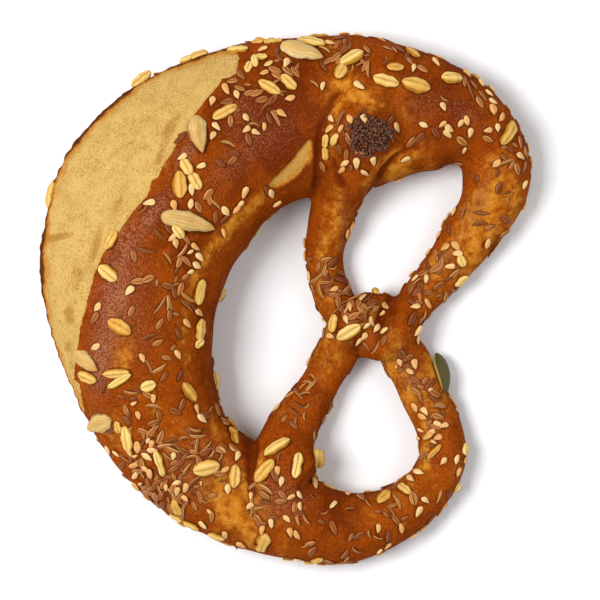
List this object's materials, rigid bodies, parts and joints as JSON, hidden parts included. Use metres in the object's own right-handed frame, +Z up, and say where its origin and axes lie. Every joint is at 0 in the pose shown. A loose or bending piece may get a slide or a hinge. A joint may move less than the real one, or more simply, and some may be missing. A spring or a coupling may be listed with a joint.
{
  "type": "soft pretzel",
  "caption": "Baked soft pretzel with a fat belly burst open along its outer side, thin twisted arms pressed on its shoulders, and a crust strewn with seeds and oat flakes.",
  "frame": {"origin": "middle of the outline on the flat baked underside, where the pretzel rests on a table", "axes": "+Z up from the table, +Y from the fat belly towards the twist, +X across both loops with the loop whose strand lies on top at the twist's upper crossing on the -X side"},
  "size_m": [0.1474, 0.1316, 0.0365],
  "materials": {
    "crust": "satin",
    "pale_seeds": "matte",
    "brown_seeds": "satin",
    "green_seed": "satin"
  },
  "bodies": {
    "root": {"pretzel": "crust"}
  },
  "joints": []
}
